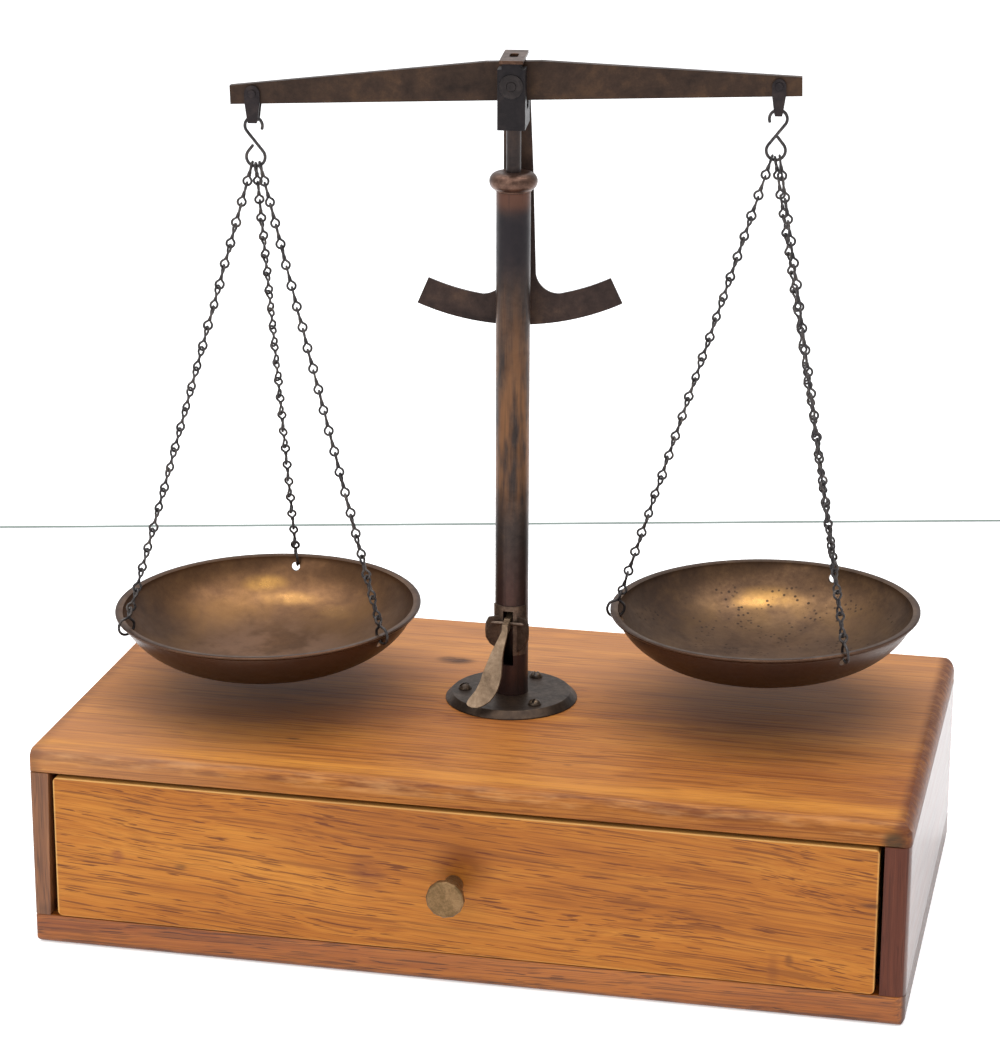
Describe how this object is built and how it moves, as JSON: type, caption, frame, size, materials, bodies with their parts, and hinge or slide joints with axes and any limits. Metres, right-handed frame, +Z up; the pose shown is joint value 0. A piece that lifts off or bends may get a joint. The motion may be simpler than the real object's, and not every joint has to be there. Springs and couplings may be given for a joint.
{
  "type": "jewelers scale",
  "caption": "Beam balance for small goods: two brass pans on chains from a tilting beam, a column with a lifting lever, and a wooden drawer base.",
  "frame": {"origin": "Centre of the base's underside, on the surface that the scale stands on.", "axes": "X along the base's front to the viewer's right, +Y from the drawer front to the back, +Z up."},
  "size_m": [0.285, 0.169, 0.285],
  "materials": {
    "oak_case": "old varnished oak, orange brown, worn edges",
    "dark_wood": "dark brown stained wood, dull",
    "oak_drawer": "varnished quarter-sawn oak, golden orange",
    "drawer_inner": "plain unvarnished wood",
    "knob_brass": "dull olive brass",
    "screw_brass": "dull turned brass",
    "flange_metal": "dark patinated brass, rubbed edge",
    "dark_screws": "darkened steel",
    "column_brass": "dark brown patinated brass tube with golden wear",
    "collar_copper": "copper brown patina",
    "bracket_brass": "dark patinated brass",
    "lever_brass": "pale dull brass sheet",
    "steel_bearing": "dark hardened steel",
    "beam_brass": "very dark brown patinated brass",
    "chain_wire": "blackened wire",
    "pan_brass": "spun brass, brown patina with golden highlights",
    "pan_brass_spotted": "spun brass, brown patina, pitted with dark spots"
  },
  "bodies": {
    "case": {"top_board": "oak_case", "bottom_board": "oak_case", "side_left": "dark_wood", "side_right": "dark_wood", "back_board": "dark_wood", "flange_plate": "flange_metal", "flange_screws": "dark_screws", "column_tube": "column_brass", "column_collar": "collar_copper", "lever_bracket": "bracket_brass", "lever_pin": "dark_screws"},
    "drawer": {"drawer_front": "oak_drawer", "drawer_side_left": "drawer_inner", "drawer_side_right": "drawer_inner", "drawer_back": "drawer_inner", "drawer_bottom": "drawer_inner", "drawer_knob": "knob_brass", "knob_screw": "screw_brass"},
    "lever": {"lift_lever": "lever_brass"},
    "riser": {"lift_rod": "column_brass", "rod_guide": "screw_brass", "fork_block": "beam_brass", "fork_cap": "collar_copper", "fork_bushes": "steel_bearing"},
    "balance_beam": {"beam": "beam_brass", "pivot_arbor": "steel_bearing", "pointer": "beam_brass", "end_pins": "steel_bearing"},
    "link_left": {"stirrup_left": "beam_brass"},
    "link_right": {"stirrup_right": "beam_brass"},
    "hook_left": {"s_hook_left": "chain_wire"},
    "hook_right": {"s_hook_right": "chain_wire"},
    "hung_pan_left": {"chain_left_side": "chain_wire", "chain_left_rear": "chain_wire", "chain_left_front": "chain_wire", "pan_hooks_left": "chain_wire", "pan_left": "pan_brass"},
    "hung_pan_right": {"chain_right_side": "chain_wire", "chain_right_rear": "chain_wire", "chain_right_front": "chain_wire", "pan_hooks_right": "chain_wire", "pan_right": "pan_brass_spotted"}
  },
  "joints": [
    {"name": "drawer_slide", "type": "slide", "parent": "case", "child": "drawer", "axis": [0, -1, 0], "range_m": [0, 0.118]},
    {"name": "lift_lever", "type": "hinge", "parent": "case", "child": "lever", "pos_m": [-0.0008, -0.0017, 0.0961], "axis": [-1, 0, 0], "range_deg": [0, 60]},
    {"name": "rod_slide", "type": "slide", "parent": "case", "child": "riser", "axis": [0, 0, -1], "range_m": [0, 0.007]},
    {"name": "beam_tilt", "type": "hinge", "parent": "riser", "child": "balance_beam", "pos_m": [-0.0008, 0.0048, 0.2766], "axis": [-0.1305, 0.9914, 0], "range_deg": [-3.4, 7]},
    {"name": "stirrup_swing_left", "type": "hinge", "parent": "balance_beam", "child": "link_left", "pos_m": [-0.08416, -0.00617, 0.27156], "axis": [-0.1305, 0.9914, 0], "range_deg": [-5, 30]},
    {"name": "stirrup_swing_right", "type": "hinge", "parent": "balance_beam", "child": "link_right", "pos_m": [0.08271, 0.01579, 0.27685], "axis": [0.1305, -0.9914, 0], "range_deg": [-5, 30]},
    {"name": "hook_swing_left", "type": "hinge", "parent": "link_left", "child": "hook_left", "pos_m": [-0.08416, -0.00617, 0.26256], "axis": [-0.1305, 0.9914, 0], "range_deg": [-3, 30]},
    {"name": "hook_swing_right", "type": "hinge", "parent": "link_right", "child": "hook_right", "pos_m": [0.08271, 0.01579, 0.26785], "axis": [0.1305, -0.9914, 0], "range_deg": [-3, 30]},
    {"name": "pan_swing_left", "type": "hinge", "parent": "hook_left", "child": "hung_pan_left", "pos_m": [-0.08367, -0.00611, 0.24762], "axis": [0.9914, 0.1305, 0], "range_deg": [-25, 25]},
    {"name": "pan_swing_right", "type": "hinge", "parent": "hook_right", "child": "hung_pan_right", "pos_m": [0.08222, 0.01573, 0.25291], "axis": [0.9914, 0.1305, 0], "range_deg": [-25, 25]}
  ],
  "couplings": [
    {"joint": "lift_lever", "follows": "rod_slide", "rad_per_m": 149.6}
  ]
}
